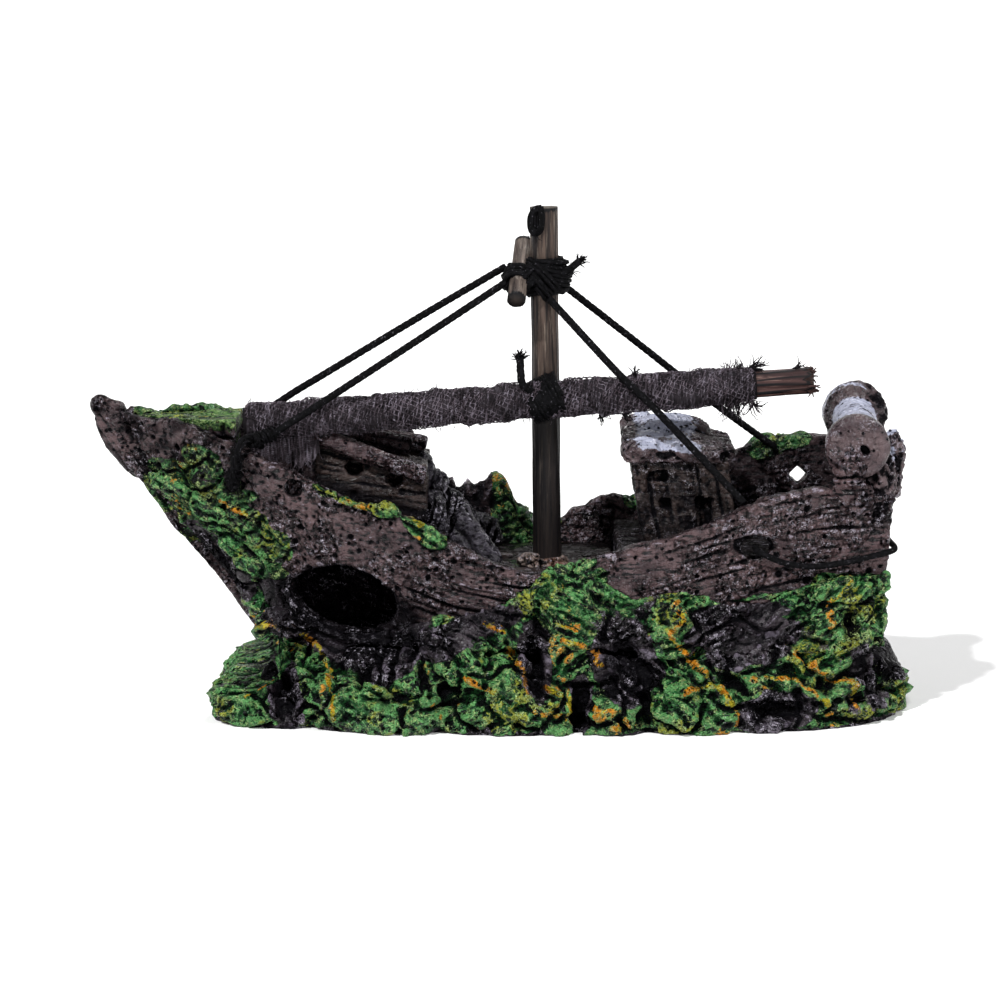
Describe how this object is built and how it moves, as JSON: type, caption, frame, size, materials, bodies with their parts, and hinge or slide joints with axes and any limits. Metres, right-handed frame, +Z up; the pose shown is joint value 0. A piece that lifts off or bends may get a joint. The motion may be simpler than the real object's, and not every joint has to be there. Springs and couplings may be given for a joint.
{
  "type": "bubbling aquarium ornament",
  "caption": "Sunken wooden boat on a mossy rock base with a cave, a lashed mast and boom, and a hidden air stone that sends bubbles up through the deck.",
  "frame": {"origin": "on the floor, under the middle of the whole ornament's box", "axes": "+Z up, -X towards the bow, -Y towards the port side with the cave mouth"},
  "size_m": [0.22, 0.086, 0.1345],
  "materials": {
    "mossy_rock": "painted resin with moss, satin",
    "painted_planking": "painted resin, satin with gloss in the pits",
    "dark_plank": "painted resin, satin",
    "mossy_plank": "painted resin, satin",
    "dark_stone": "painted resin, satin",
    "frosted_paint": "dry-brushed pale paint, satin",
    "pale_pebble": "matt",
    "mast_wood": "dark stained stick, satin",
    "peg_wood": "weathered stick, matt",
    "boom_wood": "bare reddish stick, satin",
    "gauze": "open woven cotton gauze, matt",
    "black_cord": "braided black cord, matt",
    "clear_plastic": "natural moulded plastic, gloss",
    "airline": "soft translucent tube, gloss",
    "air_stone": "sintered grit, matt"
  },
  "bodies": {
    "root": {"reef_base": "mossy_rock", "reef_apron_port": "mossy_rock", "reef_apron_starboard": "mossy_rock", "port_side": "painted_planking", "starboard_side": "painted_planking", "stem_post": "painted_planking", "transom": "painted_planking", "stern_post": "painted_planking", "forecastle_deck": "mossy_plank", "fore_deck": "dark_plank", "main_deck": "dark_plank", "aft_deck": "dark_plank", "fore_cabin": "dark_plank", "fore_cabin_roof": "painted_planking", "rock_stack": "dark_stone", "broken_plank": "dark_stone", "aft_cabin": "painted_planking", "aft_cabin_roof": "frosted_paint", "windlass_drum": "painted_planking", "windlass_post_port": "painted_planking", "windlass_post_starboard": "painted_planking", "mast": "mast_wood", "mast_step": "dark_plank", "mast_wedge": "pale_pebble", "yard_peg": "peg_wood", "boom": "boom_wood", "boom_wrap": "gauze", "gauze_drape": "gauze", "masthead_lashing": "black_cord", "masthead_loop": "black_cord", "boom_lashing": "black_cord", "bow_lashing": "black_cord", "forestay_near": "black_cord", "forestay_far": "black_cord", "aftstay_near": "black_cord", "aftstay_far": "black_cord", "stern_line": "black_cord", "air_inlet": "clear_plastic", "air_tube": "airline", "air_stone": "air_stone", "stone_hanger": "clear_plastic"}
  },
  "joints": []
}
